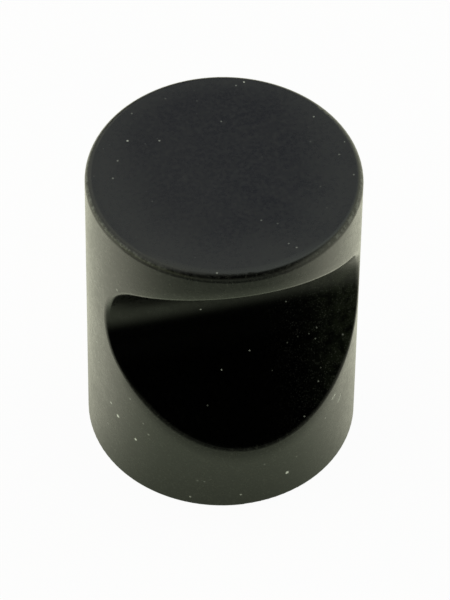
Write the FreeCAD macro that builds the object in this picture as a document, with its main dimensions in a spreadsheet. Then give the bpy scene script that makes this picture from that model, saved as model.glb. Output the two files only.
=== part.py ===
import FreeCAD, Part
import math
import os

import Sketcher

# A one-piece cabinet knob, turned from round bar.
# Its flat back stands on z = 0 with the middle of the threaded hole at the origin.
# The knob reaches out along +Z, and its finger scoop faces -Y.
# Lengths are in millimetres and angles in degrees.

SIZES = [
    ("knob_diameter", 20.0, "across the round barrel"),
    ("knob_height", 25.4, "from the back to the front face"),
    ("rim_round", 0.5, "rounding of the front rim"),
    ("back_round", 0.2, "broken edge round the back"),
    ("lip_depth", 2.1, "front face down to the upper corner of the scoop, at the barrel's side"),
    ("lip_slope", 32.0, "underside of the lip below level, going in"),
    ("shelf_height", 6.35, "back up to the lower corner of the scoop, at the barrel's side"),
    ("shelf_slope", 46.8, "shelf above level, going in"),
    ("root_radius", 5.85, "hollow round where lip and shelf meet"),
    ("scoop_edge_round", 0.4, "softened edge where the scoop leaves the barrel"),
    ("thread_diameter", 4.0, "outside of the M4 thread"),
    ("thread_length", 10.0, "full thread, from the back"),
    ("drill_diameter", 3.3, "tapping drill"),
    ("drill_length", 13.0, "tapping drill, from the back to the start of its point"),
    ("drill_point_angle", 118.0, "point left by the drill"),
    ("mouth_chamfer", 0.4, "lead-in at the mouth of the hole"),
]

# Point numbers of a sketch element, the sketch's own origin, and the distance that counts as touching.
START = 1
END = 2
CENTRE = 3
ORIGIN = (-1, 1)
NEAR = 1e-4


def make_sheet(doc):
    """Puts the driving sizes in a spreadsheet, one named cell a row."""
    sheet = doc.addObject("Spreadsheet::Sheet", "sizes")
    for row, (name, value, meaning) in enumerate(SIZES, start=1):
        sheet.set(f"A{row}", meaning)
        sheet.set(f"B{row}", str(value))
        sheet.setAlias(f"B{row}", name)
    doc.recompute()
    return sheet


def new_sketch(body, name, role):
    """A sketch on one of the body's own origin planes."""
    plane = next(item for item in body.Origin.OriginFeatures if item.Role == role)
    sketch = body.newObject("Sketcher::SketchObject", name)
    sketch.AttachmentSupport = [(plane, "")]
    sketch.MapMode = "FlatFace"
    return sketch


def bind(sketch, constraint, name, formula):
    """Adds a dimension to the sketch, and ties it to the sheet."""
    index = sketch.addConstraint(constraint)
    sketch.renameConstraint(index, name)
    sketch.setExpression(f"Constraints.{name}", formula)


def round_sketch(body, name, diameter, formula):
    """A circle about the knob's axis, on the back plane."""
    sketch = new_sketch(body, name, "XY_Plane")
    circle = Part.Circle(FreeCAD.Vector(0, 0, 0), FreeCAD.Vector(0, 0, 1), diameter / 2)
    outline = sketch.addGeometry(circle, False)
    sketch.addConstraint(Sketcher.Constraint("Coincident", outline, CENTRE, *ORIGIN))
    bind(sketch, Sketcher.Constraint("Diameter", outline, diameter), "diameter", formula)
    return sketch


def scoop_sketch(body, sheet):
    """Side view of the scoop: lip, hollow root and shelf, closed outside the barrel."""
    radius = sheet.knob_diameter / 2
    outside = -sheet.knob_diameter
    lip = math.radians(sheet.lip_slope)
    shelf = math.radians(sheet.shelf_slope)
    lip_corner = FreeCAD.Vector(-radius, sheet.knob_height - sheet.lip_depth, 0)
    shelf_corner = FreeCAD.Vector(-radius, sheet.shelf_height, 0)
    into_lip = FreeCAD.Vector(math.cos(lip), -math.sin(lip), 0)
    into_shelf = FreeCAD.Vector(math.cos(shelf), math.sin(shelf), 0)

    # Lip and shelf would meet in a sharp corner, which the root radius fills.
    run = (lip_corner.y - shelf_corner.y) / (math.tan(lip) + math.tan(shelf))
    corner = lip_corner + into_lip * (run / math.cos(lip))
    half_opening = (lip + shelf) / 2
    tangent_length = sheet.root_radius / math.tan(half_opening)
    lip_end = corner - into_lip * tangent_length
    shelf_end = corner - into_shelf * tangent_length
    inward = (into_lip + into_shelf).normalize()
    root = corner - inward * (sheet.root_radius / math.sin(half_opening) - sheet.root_radius)
    overrun = radius + outside
    lip_start = lip_corner + into_lip * (overrun / math.cos(lip))
    shelf_start = shelf_corner + into_shelf * (overrun / math.cos(shelf))

    sketch = new_sketch(body, "scoop_outline", "YZ_Plane")
    lip_line = sketch.addGeometry(Part.LineSegment(lip_start, lip_end), False)
    root_arc = sketch.addGeometry(Part.Arc(lip_end, root, shelf_end), False)
    shelf_line = sketch.addGeometry(Part.LineSegment(shelf_end, shelf_start), False)
    closing_line = sketch.addGeometry(Part.LineSegment(shelf_start, lip_start), False)
    lip_point = sketch.addGeometry(Part.Point(lip_corner), True)
    shelf_point = sketch.addGeometry(Part.Point(shelf_corner), True)

    # The arc runs anticlockwise, so it starts at the shelf and ends at the lip.
    sketch.addConstraint(Sketcher.Constraint("Tangent", lip_line, END, root_arc, END))
    sketch.addConstraint(Sketcher.Constraint("Tangent", root_arc, START, shelf_line, START))
    sketch.addConstraint(Sketcher.Constraint("Coincident", shelf_line, END, closing_line, START))
    sketch.addConstraint(Sketcher.Constraint("Coincident", closing_line, END, lip_line, START))
    sketch.addConstraint(Sketcher.Constraint("Vertical", closing_line))
    sketch.addConstraint(Sketcher.Constraint("PointOnObject", lip_point, START, lip_line))
    sketch.addConstraint(Sketcher.Constraint("PointOnObject", shelf_point, START, shelf_line))

    def across(point, position, name, formula):
        bind(sketch, Sketcher.Constraint("DistanceX", *ORIGIN, *point, position), name, formula)

    def up(point, position, name, formula):
        bind(sketch, Sketcher.Constraint("DistanceY", *ORIGIN, *point, position), name, formula)

    across((lip_point, START), -radius, "lip_side", "-sizes.knob_diameter / 2")
    across((shelf_point, START), -radius, "shelf_side", "-sizes.knob_diameter / 2")
    across((closing_line, START), outside, "outside", "-sizes.knob_diameter")
    up((lip_point, START), lip_corner.y, "lip_height", "sizes.knob_height - sizes.lip_depth")
    up((shelf_point, START), shelf_corner.y, "shelf_height", "sizes.shelf_height")
    bind(sketch, Sketcher.Constraint("Angle", lip_line, -lip), "lip_angle", "-sizes.lip_slope")
    back_along_shelf = shelf - math.pi
    bind(sketch, Sketcher.Constraint("Angle", shelf_line, back_along_shelf), "shelf_angle",
         "sizes.shelf_slope - 180")
    bind(sketch, Sketcher.Constraint("Radius", root_arc, sheet.root_radius), "root_radius",
         "sizes.root_radius")
    return sketch


def edge_names(shape, wanted):
    """Names of the edges that a test picks."""
    return [f"Edge{number}" for number, edge in enumerate(shape.Edges, start=1) if wanted(edge)]


def is_ring(edge, radius, height):
    """True for a full circle of this radius about the axis, at this height."""
    if not isinstance(edge.Curve, Part.Circle):
        return False
    centre = edge.Curve.Center
    off_axis = math.hypot(centre.x, centre.y)
    return off_axis < NEAR and abs(centre.z - height) < NEAR and abs(edge.Curve.Radius - radius) < NEAR


def is_scoop_edge(edge, sheet):
    """True for a curved edge of the barrel's side that isn't one of its two rims."""
    middle = edge.valueAt((edge.FirstParameter + edge.LastParameter) / 2)
    on_side = abs(math.hypot(middle.x, middle.y) - sheet.knob_diameter / 2) < NEAR
    between_rims = NEAR < middle.z < sheet.knob_height - NEAR
    curved = not isinstance(edge.Curve, Part.Line)
    return on_side and between_rims and curved


def dress(body, kind, name, edges, sizes):
    """A fillet or chamfer on the named edges of the body so far."""
    base = body.Tip
    feature = body.newObject(kind, name)
    feature.Base = (base, edges)
    for size, formula in sizes.items():
        feature.setExpression(size, formula)
    body.Document.recompute()
    return feature


def make_knob(doc, sheet):
    """The whole knob: barrel, scoop, threaded hole and edges."""
    body = doc.addObject("PartDesign::Body", "knob")
    body.Label = "knob"

    barrel = body.newObject("PartDesign::Pad", "barrel")
    barrel.Profile = round_sketch(body, "barrel_outline", sheet.knob_diameter, "sizes.knob_diameter")
    barrel.setExpression("Length", "sizes.knob_height")
    doc.recompute()
    barrel_volume = body.Shape.Volume

    scoop = body.newObject("PartDesign::Pocket", "scoop")
    scoop.Profile = scoop_sketch(body, sheet)
    scoop.Midplane = True
    scoop.Type = "ThroughAll"
    doc.recompute()
    scooped_volume = body.Shape.Volume

    # The wide step at the mouth is the threaded stretch, and the drill has gone on past it.
    hole = body.newObject("PartDesign::Hole", "fixing_hole")
    hole.Profile = round_sketch(body, "hole_outline", sheet.drill_diameter, "sizes.drill_diameter")
    doc.recompute()
    hole.Reversed = True
    hole.DepthType = "Dimension"
    hole.HoleCutType = "Counterbore"
    hole.DrillPoint = "Angled"
    hole.setExpression("Diameter", "sizes.drill_diameter")
    hole.setExpression("Depth", "sizes.drill_length")
    hole.setExpression("DrillPointAngle", "sizes.drill_point_angle")
    hole.setExpression("HoleCutDiameter", "sizes.thread_diameter")
    hole.setExpression("HoleCutDepth", "sizes.thread_length")
    doc.recompute()
    drilled_volume = body.Shape.Volume

    if not barrel_volume > scooped_volume > drilled_volume:
        raise RuntimeError("The scoop or the hole cuts nothing.")

    scoop_edges = edge_names(body.Shape, lambda edge: is_scoop_edge(edge, sheet))
    dress(body, "PartDesign::Fillet", "scoop_edge", scoop_edges, {"Radius": "sizes.scoop_edge_round"})
    rim = edge_names(body.Shape, lambda edge: is_ring(edge, sheet.knob_diameter / 2, sheet.knob_height))
    dress(body, "PartDesign::Fillet", "rim", rim, {"Radius": "sizes.rim_round"})
    back = edge_names(body.Shape, lambda edge: is_ring(edge, sheet.knob_diameter / 2, 0))
    dress(body, "PartDesign::Fillet", "back", back, {"Radius": "sizes.back_round"})
    mouth = edge_names(body.Shape, lambda edge: is_ring(edge, sheet.thread_diameter / 2, 0))
    dress(body, "PartDesign::Chamfer", "mouth", mouth, {"Size": "sizes.mouth_chamfer"})
    return body


def check(doc, pieces):
    """Stops before anything is written if a feature or a finished piece has failed."""
    for item in doc.Objects:
        if "Invalid" in item.State or "Error" in item.State:
            raise RuntimeError(f"{item.Label} failed: {item.State}")
    for piece in pieces:
        if piece.Shape.isNull() or not piece.Shape.isValid():
            raise RuntimeError(f"{piece.Label} has no valid shape.")


document = FreeCAD.newDocument("cabinet_knob")
size_sheet = make_sheet(document)
knob = make_knob(document, size_sheet)
knob.Placement = FreeCAD.Placement()
document.recompute()
check(document, [knob])

os.makedirs("parts", exist_ok=True)
knob.Shape.exportStep(f"parts/{knob.Label}.step")
print(f"{knob.Label}: {knob.Shape.Volume:.1f} mm3, {len(knob.Shape.Solids)} solid")
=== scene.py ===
"""Cabinet knob in satin black: one turned and milled piece with a finger scoop and a threaded blind hole."""

import math

import bmesh
import bpy
from mathutils import Matrix, Vector
from mathutils.bvhtree import BVHTree


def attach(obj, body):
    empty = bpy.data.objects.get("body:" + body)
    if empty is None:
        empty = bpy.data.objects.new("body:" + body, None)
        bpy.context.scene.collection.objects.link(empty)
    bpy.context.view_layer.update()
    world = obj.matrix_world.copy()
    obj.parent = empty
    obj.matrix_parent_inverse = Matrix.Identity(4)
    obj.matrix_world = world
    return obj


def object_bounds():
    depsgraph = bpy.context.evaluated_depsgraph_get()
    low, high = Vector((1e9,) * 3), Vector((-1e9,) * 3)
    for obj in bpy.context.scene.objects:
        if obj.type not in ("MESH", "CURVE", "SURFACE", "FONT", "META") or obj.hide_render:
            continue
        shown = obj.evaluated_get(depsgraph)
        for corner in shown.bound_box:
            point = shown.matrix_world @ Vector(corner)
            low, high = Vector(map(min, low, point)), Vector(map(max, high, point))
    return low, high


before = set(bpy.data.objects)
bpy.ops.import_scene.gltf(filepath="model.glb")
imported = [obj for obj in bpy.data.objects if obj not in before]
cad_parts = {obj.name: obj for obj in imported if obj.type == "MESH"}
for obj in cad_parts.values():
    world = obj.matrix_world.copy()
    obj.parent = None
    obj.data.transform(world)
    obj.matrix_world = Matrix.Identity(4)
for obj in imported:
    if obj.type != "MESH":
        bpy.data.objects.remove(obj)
cad_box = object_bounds()
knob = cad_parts["knob"]
MM = 0.001

# Camera, from the knob's outline in the photograph. Angles are in radians.
PHOTO_WIDTH, PHOTO_HEIGHT = 450, 600
CAMERA_AZIMUTH = math.radians(-13.815)
CAMERA_ELEVATION = math.radians(48.529)
CAMERA_DISTANCE = 359.52 * MM
CAMERA_ROLL = -0.0135217
CAMERA_TURN = -0.0005156
CAMERA_TILT = -0.0016119
FOCAL_PIXELS = 4888.9
SENSOR = 36.0
CLIP_START, CLIP_END = 0.01, 100.0


def turned(angle, axis, *vectors):
    """The vectors turned about an axis."""
    turn = Matrix.Rotation(angle, 3, axis)
    return [turn @ vector for vector in vectors]


def direction(azimuth, elevation):
    """Unit vector towards a place round the knob, in radians; azimuth 0 is the scoop's side."""
    level = math.cos(elevation)
    return Vector((math.sin(azimuth) * level, -math.cos(azimuth) * level, math.sin(elevation)))


def make_camera():
    """The photograph's view of the knob."""
    low, high = cad_box
    centre = (low + high) / 2
    back = direction(CAMERA_AZIMUTH, CAMERA_ELEVATION)
    ahead = -back
    right = ahead.cross(Vector((0, 0, 1))).normalized()
    up = right.cross(ahead)
    ahead, right = turned(CAMERA_TURN, up, ahead, right)
    ahead, up = turned(CAMERA_TILT, right, ahead, up)
    right, up = turned(CAMERA_ROLL, ahead, right, up)
    data = bpy.data.cameras.new("camera")
    data.sensor_width = SENSOR
    data.lens = FOCAL_PIXELS / max(PHOTO_WIDTH, PHOTO_HEIGHT) * SENSOR
    data.clip_start = CLIP_START
    data.clip_end = CLIP_END
    camera = bpy.data.objects.new("camera", data)
    bpy.context.scene.collection.objects.link(camera)
    place = Matrix((right, up, -ahead)).transposed().to_4x4()
    place.translation = centre + back * CAMERA_DISTANCE
    camera.matrix_world = place
    bpy.context.scene.camera = camera
    return camera


class Graph:
    """Short calls for building one material's or world's nodes."""

    def __init__(self, tree):
        self.tree = tree
        tree.nodes.clear()

    def node(self, kind, settings=None, **sockets):
        """A node. Its sockets are fed by name, or by number as i0, i1 and so on."""
        made = self.tree.nodes.new(kind)
        for name, value in (settings or {}).items():
            setattr(made, name, value)
        for name, value in sockets.items():
            socket = made.inputs[int(name[1:])] if name[1:].isdigit() else made.inputs[name.replace("_", " ")]
            self.feed(socket, value)
        return made

    def feed(self, socket, value):
        if isinstance(value, bpy.types.NodeSocket):
            self.tree.links.new(value, socket)
        else:
            socket.default_value = value

    def math(self, operation, a, b=0.0, c=0.0):
        return self.node("ShaderNodeMath", {"operation": operation}, i0=a, i1=b, i2=c).outputs[0]

    def product(self, first, *others):
        for other in others:
            first = self.math("MULTIPLY", first, other)
        return first

    def largest(self, first, *others):
        for other in others:
            first = self.math("MAXIMUM", first, other)
        return first

    def vector(self, operation, a, b=(0, 0, 0)):
        """Vector arithmetic. Its answer is a number for a length, a distance or a dot product."""
        made = self.node("ShaderNodeVectorMath", {"operation": operation}, i0=a, i1=b)
        return made.outputs["Value" if operation in ("LENGTH", "DISTANCE", "DOT_PRODUCT") else "Vector"]

    def scaled(self, vector, factor):
        made = self.node("ShaderNodeVectorMath", {"operation": "SCALE"}, i0=vector)
        self.feed(made.inputs["Scale"], factor)
        return made.outputs["Vector"]

    def ramp(self, value, low, high, start, end, smooth=True):
        """From start at low to end at high, and level beyond them."""
        kind = "SMOOTHSTEP" if smooth else "LINEAR"
        made = self.node("ShaderNodeMapRange", {"interpolation_type": kind, "clamp": True}, Value=value)
        for name, number in (("From Min", low), ("From Max", high), ("To Min", start), ("To Max", end)):
            self.feed(made.inputs[name], number)
        return made.outputs["Result"]

    def noise(self, place, per_mm, detail, roughness):
        made = self.node("ShaderNodeTexNoise", Vector=place, Scale=per_mm, Detail=detail, Roughness=roughness)
        return made.outputs["Fac"]

    def mix(self, factor, a, b):
        made = self.node("ShaderNodeMix", {"data_type": "RGBA"})
        self.feed(made.inputs["Factor"], factor)
        self.feed([s for s in made.inputs if s.name == "A" and s.type == "RGBA"][0], a)
        self.feed([s for s in made.inputs if s.name == "B" and s.type == "RGBA"][0], b)
        return [s for s in made.outputs if s.type == "RGBA"][0]


def new_material(name):
    material = bpy.data.materials.new(name)
    material.use_nodes = True
    return material, Graph(material.node_tree)


# Dust specks on the finish: place in the photograph, in pixels, radius, in millimetres, and lightness.
SPECKS = [
    # On the front face.
    (127.5, 140.8, 0.083, 0.48), (159.4, 140.7, 0.073, 0.35), (112.9, 178.3, 0.072, 0.23), (117.6, 160.8, 0.072, 0.23),
    (221.2, 121.4, 0.073, 0.17), (244.0, 82.0, 0.070, 0.60), (236.0, 85.5, 0.073, 0.20), (313.8, 116.7, 0.073, 0.29),
    (353.8, 174.6, 0.072, 0.17), (310.3, 141.4, 0.066, 0.08), (339.3, 154.4, 0.073, 0.15), (344.6, 141.8, 0.050, 0.25),
    (165.4, 98.6, 0.071, 0.08), (197.0, 101.0, 0.053, 0.08), (288.7, 243.5, 0.072, 0.15), (296.7, 247.5, 0.072, 0.20),
    (261.3, 220.3, 0.072, 0.16), (277.6, 223.5, 0.072, 0.09), (217.0, 273.0, 0.082, 0.24), (131.8, 113.4, 0.073, 0.15),
    # Round the side.
    (287.1, 472.5, 0.145, 0.85), (135.6, 439.3, 0.111, 0.85), (190.2, 496.7, 0.090, 0.45), (118.0, 416.0, 0.150, 0.85),
    (111.1, 402.7, 0.118, 0.49), (148.5, 434.6, 0.085, 0.27), (143.2, 423.6, 0.086, 0.18), (240.9, 494.6, 0.079, 0.56),
    (204.5, 481.7, 0.078, 0.16), (197.5, 480.5, 0.078, 0.14), (264.6, 464.5, 0.080, 0.13), (296.5, 456.5, 0.086, 0.13),
    (95.0, 281.0, 0.060, 0.60), (117.0, 290.0, 0.110, 0.29), (97.0, 342.0, 0.060, 0.70), (99.0, 362.0, 0.055, 0.60),
    (130.0, 399.0, 0.091, 0.21), (108.1, 423.4, 0.108, 0.16), (325.5, 418.0, 0.070, 0.30),
    # In the scoop.
    (221.6, 369.7, 0.063, 0.34), (249.6, 350.5, 0.063, 0.34), (316.6, 327.4, 0.063, 0.20), (318.4, 381.3, 0.063, 0.22),
    (320.8, 367.5, 0.063, 0.09), (315.4, 338.5, 0.063, 0.15), (342.8, 334.5, 0.063, 0.22), (200.6, 309.4, 0.072, 0.35),
    (308.9, 333.6, 0.063, 0.10), (297.7, 336.5, 0.054, 0.08), (304.4, 416.4, 0.063, 0.23), (272.4, 370.5, 0.046, 0.08),
    (207.6, 405.4, 0.063, 0.10), (287.3, 342.5, 0.063, 0.09), (286.0, 301.5, 0.069, 0.15),
]
# Scratches: both ends, in pixels, radius, in millimetres, and lightness.
SCRATCHES = [
    (335.3, 394.0, 332.3, 399.0, 0.07, 0.55), (340.8, 394.5, 338.0, 402.0, 0.07, 0.50),
]

# Colours of the finish, and of the painted sheen, a painted reflection, on the face and in the scoop.
DUST = (0.98, 1.0, 0.97, 1)
BLACK = (0.0003, 0.0003, 0.0003, 1)
GRAIN = (0.008, 0.008, 0.008, 1)
SIDE_GRAIN = (0.028, 0.029, 0.025, 1)
# Painted sheen on the face: a painted reflection, paler towards the rim.
PAINTED_SHEEN = (0.0165, 0.0170, 0.0160, 1)
# Painted reflection in the scoop: a faint greenish sheen in blotches towards its right end.
PAINTED_SHELF_SHEEN = (0.0125, 0.0150, 0.0098, 1)

# Noises of the finish: how many to a millimetre, detail and roughness, and the levels between which each counts.
GRAIN_NOISE, GRAIN_LEVELS = (3.0, 4.0, 0.65), (0.45, 0.75)
SIDE_NOISE, SIDE_LEVELS = (5.0, 3.0, 0.70), (0.50, 0.72)
MOTTLE_NOISE, MOTTLE_LEVELS = (0.4, 4.0, 0.55), (0.3, 0.7)
BLOTCH_NOISE, BLOTCH_LEVELS = (1.2, 3.0, 0.70), (0.35, 0.65)
WEAR_NOISE, WEAR_LEVELS = (2.5, 3.0, 0.70), (0.40, 0.66)
ROUGHNESS_LEVELS = 0.25, 0.75
THINNEST_BLOTCH = 0.2
SCOOP_GRAIN = 0.1
FINISH_IOR = 1.5
FINISH_ROUGHNESS = 0.3
MOTTLE_ROUGHNESS = 0.02
GRAIN_ROUGHNESS = 0.05
DUST_ROUGHNESS = 0.4

# From here on lengths are in millimetres. A pair of lengths says where something begins and where it is full.
# The scoop's own sizes are those of the CAD model.
BARREL_RADIUS = cad_box[1].x / MM
FACE_HEIGHT = cad_box[1].z / MM
LIP_DEPTH, LIP_SLOPE = 2.1, math.tan(math.radians(32.0))
SHELF_HEIGHT, SHELF_SLOPE = 6.35, math.tan(math.radians(46.8))

# What counts as the scoop: its soft border in the middle and at its two ends, and its clearance from face and back.
SCOOP_BORDER, SCOOP_END_BORDER, SCOOP_ENDS = 0.25, 0.10, (7.0, 8.5)
FACE_CLEARANCE, BACK_CLEARANCE = (0.3, 0.1), (0.1, 0.3)
FACE_LAYER = 0.05, 0.01

# Painted sheen, a painted reflection, on the face, by radius in front and behind, and in the scoop towards its right
# end.
SHEEN_BEGINS, SHEEN_FULL, SHEEN_BACK = (4.5, 7.5), (9.0, 10.0), 8.0
SHELF_SHEEN_FROM = 4.0, 8.5

# Random dust: specks to a millimetre, radius and lightness, behind, on the face and in the scoop's right end.
DUST_PER_MM, FINE_DUST_PER_MM, DUST_RADIUS = 0.9, 7.0, 0.06
BACK_DUST, BACK_DUST_FROM, FACE_DUST = 0.35, (-1.0, 1.0), 0.08
FINE_DUST, FINE_DUST_FROM = 0.035, (1.0, 7.0)
DUST_CORE, DUST_EDGE = 0.5, 1.2
SPECK_CORE, SPECK_EDGE = 0.5, 1.3

# Wear round the rim except in front, in a band of depths below the face.
RIM_FRONT = direction(math.radians(-5.0), 0)
RIM_FRONT_COSINES = 0.6, 0.95
WEAR, WEAR_TOP, WEAR_FOOT, WEAR_RADII = 0.10, (0.12, 0.05), (0.30, 0.22), (9.6, 9.7)

# Relief: a soft roll along the lip, a softer inner rim in front, and the grain.
ROLL_WIDTH, ROLL_DROP, ROLL_ENDS, ROLL_HEIGHTS = 1.0, 0.042, (-5.5, -4.5), (12.3, 13.3)
RIM_FROM, RIM_DROP, RIM_DEPTHS = 9.0, 0.08, (0.7, 0.6)
GRAIN_HEIGHT = 0.0008

# Specular level: on the barrel, just below the scoop's edge, on the shelf, in the hollow and under the lip.
BARREL_SHINE = 0.5
EDGE_WIDTH, EDGE_SHARE, EDGE_HEIGHTS, EDGE_ENDS = 1.8, 0.45, (13.5, 14.5), (-6.5, -4.5)
SHELF_SHINE, HOLLOW_SHINE, HOLLOW_HEIGHTS = 0.02, 0.25, (14.2, 15.7)
LIP_SHARE, LIP_HEIGHTS = 2.2, (16.4, 17.8)
LEFT_SHARE, RIGHT_SHARE, SHARE_REACH = 1.1, 0.6, 8.0


def places_under(camera, pixels):
    """The places on the knob, in millimetres, that lie under pixels of the photograph."""
    mesh = knob.data
    corners = [vertex.co.copy() for vertex in mesh.vertices]
    tree = BVHTree.FromPolygons(corners, [tuple(face.vertices) for face in mesh.polygons])
    start = camera.matrix_world.translation
    turn = camera.matrix_world.to_3x3()
    found = []
    for x, y, *_ in pixels:
        aside = (x - PHOTO_WIDTH / 2) / FOCAL_PIXELS
        above = (PHOTO_HEIGHT / 2 - y) / FOCAL_PIXELS
        hit = tree.ray_cast(start, turn @ Vector((aside, above, -1)))[0]
        if hit is None:
            raise RuntimeError(f"No knob under pixel {x}, {y}.")
        found.append(hit / MM)
    return found


class Surface:
    """Where a point of the knob is, in millimetres, and how far it belongs to the scoop and to the face."""

    def __init__(self, graph):
        self.place = graph.scaled(graph.node("ShaderNodeTexCoord").outputs["Object"], 1 / MM)
        parts = graph.node("ShaderNodeSeparateXYZ", i0=self.place)
        self.x, self.y, self.z = parts.outputs["X"], parts.outputs["Y"], parts.outputs["Z"]
        flat = graph.vector("MULTIPLY", self.place, (1, 1, 0))
        self.radius = graph.vector("LENGTH", flat)
        outward = graph.vector("NORMALIZE", flat)

        inside = graph.ramp(graph.math("ABSOLUTE", self.x), *SCOOP_ENDS,
                            BARREL_RADIUS - SCOOP_BORDER, BARREL_RADIUS - SCOOP_END_BORDER)
        below_face = self.by_depth(graph, FACE_CLEARANCE, 1.0, 0.0)
        above_back = graph.ramp(self.z, *BACK_CLEARANCE, 0.0, 1.0)
        self.scoop = graph.product(graph.ramp(self.radius, inside, BARREL_RADIUS, 1.0, 0.0), below_face, above_back)
        self.face = self.by_depth(graph, FACE_LAYER, 0.0, 1.0)
        cosine = graph.vector("DOT_PRODUCT", outward, tuple(RIM_FRONT))
        self.rim_front = graph.ramp(cosine, *RIM_FRONT_COSINES, 0.0, 1.0)

    def by_depth(self, graph, depths, start, end):
        """A ramp between two depths below the front face, the deeper one first."""
        deep, shallow = depths
        return graph.ramp(self.z, FACE_HEIGHT - deep, FACE_HEIGHT - shallow, start, end)


def bare_colour_and_sheen(graph, on, grain, blotch):
    """Black with pale grain, a painted sheen on the face and a faint one in the scoop, both painted reflection."""
    speckle = graph.product(graph.ramp(grain, *GRAIN_LEVELS, 0.0, 1.0),
                            graph.ramp(on.scoop, 0.0, 1.0, 1.0, SCOOP_GRAIN))
    colour = graph.mix(speckle, BLACK, GRAIN)
    on_side = graph.math("SUBTRACT", graph.math("SUBTRACT", 1.0, on.scoop), on.face)
    side_grain = graph.ramp(graph.noise(on.place, *SIDE_NOISE), *SIDE_LEVELS, 0.0, 1.0)
    colour = graph.mix(graph.product(side_grain, on_side), colour, SIDE_GRAIN)
    # Painted reflection: the face is paler towards its rim, from a radius that differs in front and behind.
    begins = graph.ramp(on.y, 0.0, SHEEN_BACK, *SHEEN_BEGINS)
    full = graph.ramp(on.y, 0.0, SHEEN_BACK, *SHEEN_FULL)
    painted_sheen = graph.product(graph.ramp(on.radius, begins, full, 0.0, 1.0), on.face)
    colour = graph.mix(painted_sheen, colour, PAINTED_SHEEN)
    # Painted reflection: a faint greenish sheen in blotches towards the scoop's right end.
    painted_shelf_sheen = graph.product(graph.ramp(on.x, *SHELF_SHEEN_FROM, 0.0, 1.0), on.scoop, blotch)
    return graph.mix(painted_shelf_sheen, colour, PAINTED_SHELF_SHEEN)


def random_dust(graph, place, per_mm):
    """Round specks at random places: 1 in a speck, less in some of them, and 0 between them."""
    cells = graph.node("ShaderNodeTexVoronoi", Vector=place, Scale=per_mm)
    strength = graph.node("ShaderNodeSeparateXYZ", i0=cells.outputs["Color"]).outputs["X"]
    reach = DUST_RADIUS * per_mm
    near = graph.ramp(cells.outputs["Distance"], reach * DUST_CORE, reach * DUST_EDGE, 1.0, 0.0)
    return graph.product(near, strength)


def distance_to_line(graph, place, start, end):
    """Distance from a line between two places."""
    line = end - start
    offset = graph.vector("SUBTRACT", place, tuple(start))
    share = graph.vector("DOT_PRODUCT", offset, tuple(line / line.length_squared))
    nearest = graph.scaled(tuple(line), graph.ramp(share, 0.0, 1.0, 0.0, 1.0, smooth=False))
    return graph.vector("DISTANCE", offset, nearest)


def dust_on(graph, on, blotch, camera):
    """The photograph's specks and scratches, random dust, and wear along the rim: 0 where the finish is clean."""
    behind = graph.ramp(on.y, *BACK_DUST_FROM, 0.0, BACK_DUST)
    share = graph.largest(graph.math("SUBTRACT", behind, on.face), graph.product(on.face, FACE_DUST))
    dust = graph.product(random_dust(graph, on.place, DUST_PER_MM), share)
    fine = graph.product(graph.ramp(on.x, *FINE_DUST_FROM, 0.0, FINE_DUST), on.scoop, blotch)
    dust = graph.largest(dust, graph.product(random_dust(graph, on.place, FINE_DUST_PER_MM), fine))

    for spot, (_, _, size, lightness) in zip(places_under(camera, SPECKS), SPECKS):
        away = graph.vector("DISTANCE", on.place, tuple(spot))
        dust = graph.largest(dust, graph.ramp(away, size * SPECK_CORE, size * SPECK_EDGE, lightness, 0.0))
    for x0, y0, x1, y1, size, lightness in SCRATCHES:
        away = distance_to_line(graph, on.place, *places_under(camera, [(x0, y0), (x1, y1)]))
        dust = graph.largest(dust, graph.ramp(away, size * SPECK_CORE, size * SPECK_EDGE, lightness, 0.0))

    band = graph.product(on.by_depth(graph, WEAR_FOOT, 0.0, 1.0), on.by_depth(graph, WEAR_TOP, 1.0, 0.0),
                         graph.ramp(on.radius, *WEAR_RADII, 0.0, 1.0))
    wear = graph.ramp(graph.noise(on.place, *WEAR_NOISE), *WEAR_LEVELS, 0.0, WEAR)
    wear = graph.product(wear, band, graph.math("SUBTRACT", 1.0, on.rim_front))
    return graph.largest(dust, wear)


def relief_on(graph, on, grain):
    """Height of the soft roll along the lip, the softer inner rim and the grain, in millimetres."""
    lip = graph.math("MULTIPLY_ADD", on.y, -LIP_SLOPE, FACE_HEIGHT - LIP_DEPTH - LIP_SLOPE * BARREL_RADIUS)
    roll = graph.ramp(graph.math("SUBTRACT", on.z, lip), 0.0, ROLL_WIDTH, 1.0, 0.0, smooth=False)
    roll = graph.product(roll, roll, -ROLL_DROP, graph.ramp(on.y, *ROLL_ENDS, 1.0, 0.0),
                         graph.ramp(on.z, *ROLL_HEIGHTS, 0.0, 1.0))
    beside = graph.product(graph.math("SUBTRACT", 1.0, on.rim_front),
                           graph.ramp(on.radius, 0.0, RIM_FROM, 0.0, 1.0, smooth=False))
    rim = graph.product(graph.ramp(on.radius, RIM_FROM, BARREL_RADIUS, RIM_DROP, 0.0),
                        graph.math("SUBTRACT", 1.0, beside), on.by_depth(graph, RIM_DEPTHS, 0.0, 1.0))
    return graph.math("ADD", graph.math("ADD", roll, rim), graph.product(grain, GRAIN_HEIGHT))


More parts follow.
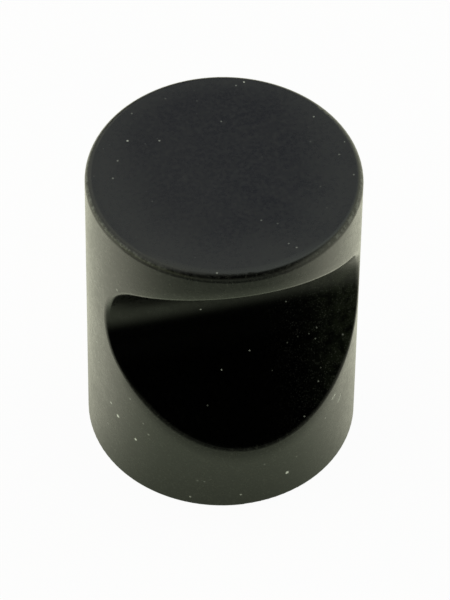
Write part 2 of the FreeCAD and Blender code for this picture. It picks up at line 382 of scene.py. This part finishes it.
def shine_on(graph, on):
    """Specular level: plain on the barrel, weaker just below the scoop's edge, and weak in the scoop."""
    shelf = graph.math("MULTIPLY_ADD", on.y, SHELF_SLOPE, SHELF_HEIGHT + SHELF_SLOPE * BARREL_RADIUS)
    below_edge = graph.ramp(graph.math("SUBTRACT", shelf, on.z), 0.0, EDGE_WIDTH, EDGE_SHARE, 1.0)
    elsewhere = graph.largest(graph.ramp(on.z, *EDGE_HEIGHTS, 0.0, 1.0), graph.ramp(on.y, *EDGE_ENDS, 0.0, 1.0))
    barrel = graph.product(graph.largest(below_edge, elsewhere), BARREL_SHINE)
    scoop = graph.product(
        graph.ramp(on.z, *HOLLOW_HEIGHTS, SHELF_SHINE, HOLLOW_SHINE),
        graph.ramp(on.z, *LIP_HEIGHTS, 1.0, LIP_SHARE),
        graph.ramp(on.x, -SHARE_REACH, SHARE_REACH, LEFT_SHARE, RIGHT_SHARE, smooth=False),
    )
    return graph.ramp(on.scoop, 0.0, 1.0, barrel, scoop, smooth=False)


def black_finish(camera):
    """Satin black over metal, with fine grain and a little dust. The milled scoop is a deeper black."""
    material, graph = new_material("black_finish")
    on = Surface(graph)
    grain = graph.noise(on.place, *GRAIN_NOISE)
    blotch = graph.ramp(graph.noise(on.place, *BLOTCH_NOISE), *BLOTCH_LEVELS, THINNEST_BLOTCH, 1.0)
    dust = dust_on(graph, on, blotch, camera)
    rough = graph.ramp(graph.noise(on.place, *MOTTLE_NOISE), *MOTTLE_LEVELS,
                       FINISH_ROUGHNESS - MOTTLE_ROUGHNESS, FINISH_ROUGHNESS + MOTTLE_ROUGHNESS)
    rough = graph.math("ADD", rough, graph.ramp(grain, *ROUGHNESS_LEVELS, -GRAIN_ROUGHNESS, GRAIN_ROUGHNESS))
    rough = graph.math("ADD", rough, graph.product(dust, DUST_ROUGHNESS))
    bump = graph.node("ShaderNodeBump", Strength=1.0, Distance=MM, Height=relief_on(graph, on, grain))
    shader = graph.node("ShaderNodeBsdfPrincipled", IOR=FINISH_IOR, Roughness=rough, Normal=bump.outputs["Normal"])
    graph.feed(shader.inputs["Base Color"], graph.mix(dust, bare_colour_and_sheen(graph, on, grain, blotch), DUST))
    graph.feed(shader.inputs["Specular IOR Level"], shine_on(graph, on))
    graph.node("ShaderNodeOutputMaterial", Surface=shader.outputs["BSDF"])
    return material


# Soft patches of light: name, azimuth, elevation, angle of full light and angle where it ends, in degrees, colour.
PATCHES = [
    ("right", 96.0, -16.0, 53.0, 77.0, (1.30, 1.35, 1.05)),
    ("left", -89.0, -37.0, 25.0, 82.0, (1.13, 1.21, 0.70)),
    ("back", 162.0, 37.0, 17.0, 22.0, (0.22, 0.232, 0.31)),
    ("upper_right", 127.0, 63.0, 1.0, 24.0, (1.06, 1.18, 1.12)),
    ("upper_left", -124.0, 40.5, 34.0, 51.0, (0.99, 1.02, 0.90)),
    ("front", -10.0, -4.0, 6.0, 45.0, (0.42, 0.46, 0.35)),
]
WHITE = (1, 1, 1, 1)


def make_world():
    """A dark room with soft light from both sides and from behind, and a weaker patch in front."""
    world = bpy.data.worlds.new("studio")
    bpy.context.scene.world = world
    world.use_nodes = True
    graph = Graph(world.node_tree)
    looking = graph.node("ShaderNodeTexCoord").outputs["Generated"]
    total = (0, 0, 0)
    for name, azimuth, elevation, full, end, colour in PATCHES:
        towards = graph.vector("DOT_PRODUCT", looking, tuple(direction(math.radians(azimuth), math.radians(elevation))))
        towards.node.label = name
        lit = graph.ramp(towards, math.cos(math.radians(end)), math.cos(math.radians(full)), 0.0, 1.0)
        total = graph.vector("ADD", total, graph.scaled(colour, lit))
    seen = graph.node("ShaderNodeLightPath").outputs["Is Camera Ray"]
    light = graph.node("ShaderNodeBackground", Color=total).outputs[0]
    white = graph.node("ShaderNodeBackground", Color=WHITE).outputs[0]
    both = graph.node("ShaderNodeMixShader", i0=seen, i1=light, i2=white).outputs[0]
    graph.node("ShaderNodeOutputWorld", Surface=both)


# The table in metres, and what the knob mirrors of it, which is painted light and shade: colours, and the angle and
# distance where each begins.
FLOOR_SIZE = 4.0
FLOOR_GAP = 0.02 * MM
FLOOR_COLOUR = (0.95, 0.95, 0.94, 1)
FLOOR_WHITENESS = 0.96
# The mirrored table glows with painted light at the sides, has painted shade in front that is darker further out, and a
# painted contact shadow near the knob's base.
PAINTED_SIDE_LIGHT = (1.36, 1.37, 1.08, 1)
PAINTED_DIM_FRONT = (0.78, 0.87, 0.62, 1)
PAINTED_FAR_SHADE = (0.15, 0.17, 0.13, 1)
FRONT_AZIMUTH = math.radians(-12.4)
FRONT_ANGLES = math.radians(87.3), math.radians(17.0)
FRONT_REACH = 27.0 * MM, 33.6 * MM
# A painted contact shadow darkens the mirrored table near the knob's base.
CONTACT_REACH, CONTACT_SHADE = (8.0 * MM, 16.5 * MM), 0.57


def make_floor():
    """A plain white table under the knob; in the knob it is painted light, bright at the sides, with painted shade in
    front and a painted contact shadow near the base.
    """
    mesh = bpy.data.meshes.new("floor")
    shape = bmesh.new()
    bmesh.ops.create_grid(shape, x_segments=1, y_segments=1, size=FLOOR_SIZE / 2)
    shape.to_mesh(mesh)
    shape.free()
    floor = bpy.data.objects.new("floor", mesh)
    bpy.context.scene.collection.objects.link(floor)
    floor.location.z = cad_box[0].z - FLOOR_GAP

    material, graph = new_material("floor")
    path = graph.node("ShaderNodeLightPath")
    place = graph.node("ShaderNodeNewGeometry").outputs["Position"]
    reach = graph.vector("LENGTH", place)
    ahead = graph.vector("DOT_PRODUCT", graph.vector("NORMALIZE", place), tuple(direction(FRONT_AZIMUTH, 0)))
    in_front = graph.ramp(ahead, *map(math.cos, FRONT_ANGLES), 0.0, 1.0)
    # Painted shade in front of the knob, darker further out.
    front = graph.mix(graph.ramp(reach, *FRONT_REACH, 1.0, 0.0), PAINTED_FAR_SHADE, PAINTED_DIM_FRONT)
    contact = graph.ramp(reach, *CONTACT_REACH, CONTACT_SHADE, 1.0)
    # For glossy rays the table glows with this painted light and shade.
    shine = graph.node("ShaderNodeEmission", Color=graph.mix(in_front, PAINTED_SIDE_LIGHT, front), Strength=contact).outputs[0]
    matt = graph.node("ShaderNodeBsdfDiffuse", Color=FLOOR_COLOUR).outputs[0]
    white = graph.node("ShaderNodeEmission", Color=WHITE).outputs[0]
    seen = graph.product(path.outputs["Is Camera Ray"], FLOOR_WHITENESS)
    plain = graph.node("ShaderNodeMixShader", i0=seen, i1=matt, i2=white).outputs[0]
    both = graph.node("ShaderNodeMixShader", i0=path.outputs["Is Glossy Ray"], i1=plain, i2=shine).outputs[0]
    graph.node("ShaderNodeOutputMaterial", Surface=both)
    mesh.materials.append(material)


# The M4 thread inside the fixing hole, in millimetres.
THREAD_RADIUS = 2.0
THREAD_CREST_RADIUS = 1.65
THREAD_PITCH = 0.7
THREAD_START = 0.45
THREAD_END = 9.9
THREAD_BASE_WIDTH = 0.61
THREAD_CREST_WIDTH = 0.175
THREAD_SUNK = 0.03
THREAD_STEPS = 48
FADE_STEPS = THREAD_STEPS / 3


def make_thread():
    """The right-handed ridge of the thread, which fades out at both ends."""
    turns = (THREAD_END - THREAD_START - THREAD_BASE_WIDTH) / THREAD_PITCH
    count = round(turns * THREAD_STEPS)
    outside = THREAD_RADIUS + THREAD_SUNK
    shape = bmesh.new()
    rings = []
    for step in range(count + 1):
        angle = math.tau * step / THREAD_STEPS
        height = THREAD_START + THREAD_BASE_WIDTH / 2 + THREAD_PITCH * step / THREAD_STEPS
        grown = min(1.0, (step + 1) / FADE_STEPS, (count - step + 1) / FADE_STEPS)
        crest = THREAD_RADIUS + (THREAD_CREST_RADIUS - THREAD_RADIUS) * grown
        base, top = THREAD_BASE_WIDTH / 2 * grown, THREAD_CREST_WIDTH / 2 * grown
        ring = []
        for radius, offset in ((outside, -base), (THREAD_RADIUS, -base), (crest, -top),
                               (crest, top), (THREAD_RADIUS, base), (outside, base)):
            place = Vector((radius * math.cos(angle), radius * math.sin(angle), height + offset)) * MM
            ring.append(shape.verts.new(place))
        rings.append(ring)
    for before, after in zip(rings, rings[1:]):
        for corner in range(len(before)):
            beside = (corner + 1) % len(before)
            shape.faces.new((before[corner], before[beside], after[beside], after[corner]))
    shape.faces.new(rings[0])
    shape.faces.new(reversed(rings[-1]))
    bmesh.ops.recalc_face_normals(shape, faces=shape.faces)
    mesh = bpy.data.meshes.new("thread")
    shape.to_mesh(mesh)
    shape.free()
    thread = bpy.data.objects.new("thread", mesh)
    bpy.context.scene.collection.objects.link(thread)
    return thread


bpy.context.scene.view_settings.view_transform = "Standard"
finish = black_finish(make_camera())
for slot in knob.material_slots:
    slot.material = finish
thread = make_thread()
thread.data.materials.append(finish)
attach(thread, "root")
make_world()
make_floor()
